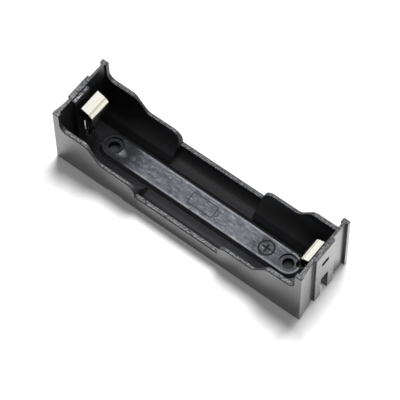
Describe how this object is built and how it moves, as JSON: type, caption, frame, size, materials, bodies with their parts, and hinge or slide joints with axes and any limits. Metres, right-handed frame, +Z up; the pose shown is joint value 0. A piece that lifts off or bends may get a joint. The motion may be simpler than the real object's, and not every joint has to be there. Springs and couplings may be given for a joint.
{
  "type": "cylindrical cell holder",
  "caption": "Open moulded trough that holds one cylindrical cell between two nickel-plated leaf contacts, with stepped snap walls and screw holes in its floor.",
  "frame": {"origin": "centre of the underside of the housing, in the plane that it stands on", "axes": "+X along the holder towards the plus end, +Y across it, +Z up out of its open top"},
  "size_m": [0.0776, 0.0206, 0.0214],
  "materials": {
    "housing": "black moulded thermoplastic, spark-eroded grain, lightly scuffed",
    "contacts": "bright nickel plating on spring strip, faint rolling lines"
  },
  "bodies": {
    "root": {"housing": "housing", "plus_contact": "contacts", "minus_contact": "contacts"}
  },
  "joints": []
}
